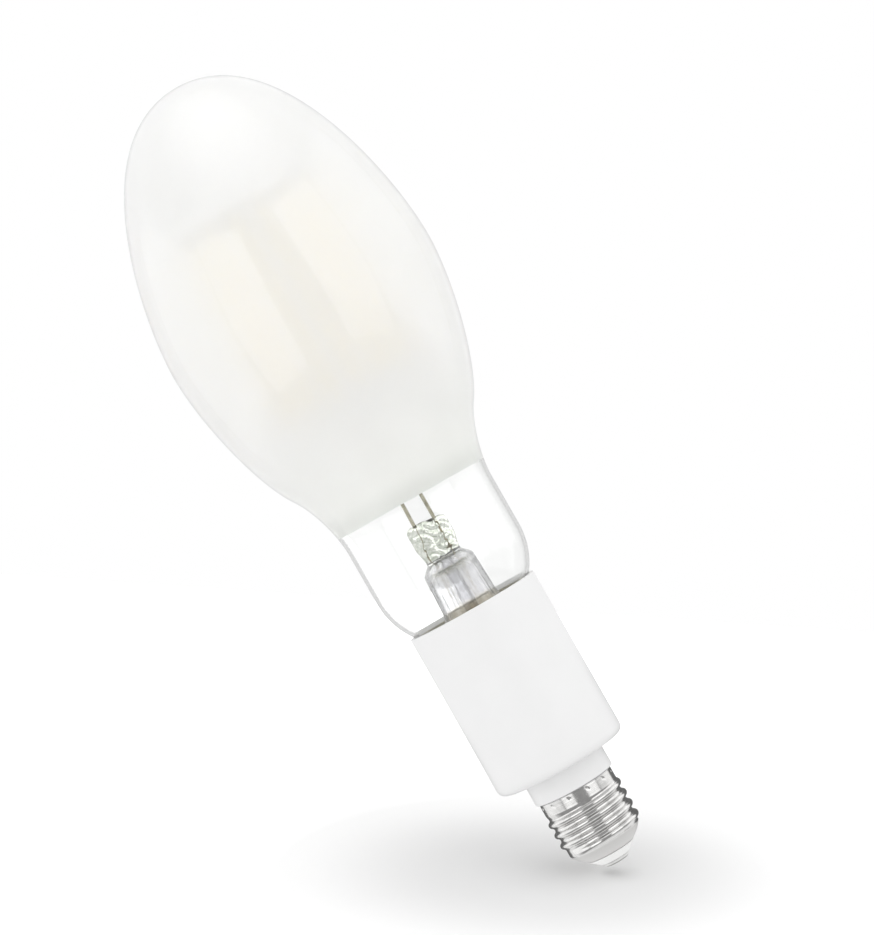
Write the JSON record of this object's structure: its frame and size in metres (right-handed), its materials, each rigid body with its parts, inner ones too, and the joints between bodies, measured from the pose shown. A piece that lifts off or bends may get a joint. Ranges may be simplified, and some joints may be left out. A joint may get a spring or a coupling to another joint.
{
  "type": "high-power led lamp bulb",
  "caption": "Elliptical LED lamp with a white-coated glass bulb, clear neck band with glass stem, moulded driver housing and Edison screw cap.",
  "frame": {"origin": "middle of the centre contact's flat underside, the lowest point of the lamp", "axes": "+Z along the lamp's axis from the contact to the dome; +X lies along the flat of the stem's press, so -Y faces the viewer of the picture"},
  "size_m": [0.0898, 0.0898, 0.2729],
  "materials": {
    "clear_glass": "clear blown glass, glossy",
    "white_coating": "matt white powder coating inside the glass",
    "nickel_wire": "drawn nickel wire, slightly dull",
    "seal_wire": "copper-clad wire",
    "carrier_steel": "stamped steel",
    "filament": "yellow phosphor silicone",
    "ceramic": "unglazed white ceramic",
    "cement": "olive-brown silicone cement",
    "white_moulding": "white moulded plastic, satin",
    "nickel_plate": "bright nickel plate",
    "contact_metal": "nickel-plated contact",
    "pale_insulator": "pale moulded insulator",
    "board_laminate": "green circuit board",
    "ferrite": "dark sintered ferrite",
    "winding_tape": "yellow winding tape",
    "capacitor_sleeve": "dark shrink sleeve",
    "film_capacitor_case": "ochre moulded case",
    "chip_epoxy": "black epoxy",
    "resistor_lacquer": "grey-green lacquer",
    "wire_insulation": "off-white insulation"
  },
  "bodies": {
    "root": {"glass_envelope": "clear_glass", "diffusing_coat": "white_coating", "glass_stem": "clear_glass", "exhaust_tube": "clear_glass", "support_lead_left": "nickel_wire", "support_lead_right": "nickel_wire", "seal_wire_left": "seal_wire", "seal_wire_right": "seal_wire", "wire_sleeve_left": "wire_insulation", "wire_sleeve_right": "wire_insulation", "lower_carrier": "carrier_steel", "upper_carrier": "carrier_steel", "insulating_bushing": "ceramic", "led_filament_01": "filament", "led_filament_02": "filament", "led_filament_03": "filament", "led_filament_04": "filament", "led_filament_05": "filament", "led_filament_06": "filament", "led_filament_07": "filament", "led_filament_08": "filament", "led_filament_09": "filament", "led_filament_10": "filament", "led_filament_11": "filament", "led_filament_12": "filament", "led_filament_13": "filament", "led_filament_14": "filament", "led_filament_15": "filament", "led_filament_16": "filament", "cement_ring": "cement", "driver_housing": "white_moulding", "driver_board": "board_laminate", "transformer_core": "ferrite", "transformer_winding": "winding_tape", "input_capacitor": "capacitor_sleeve", "output_capacitor": "capacitor_sleeve", "film_capacitor": "film_capacitor_case", "bridge_rectifier": "chip_epoxy", "choke_coil": "ferrite", "fuse_resistor": "resistor_lacquer", "driver_chip": "chip_epoxy", "live_wire": "wire_insulation", "shell_wire": "wire_insulation", "screw_shell": "nickel_plate", "cap_insulator": "pale_insulator", "centre_contact": "contact_metal"}
  },
  "joints": []
}
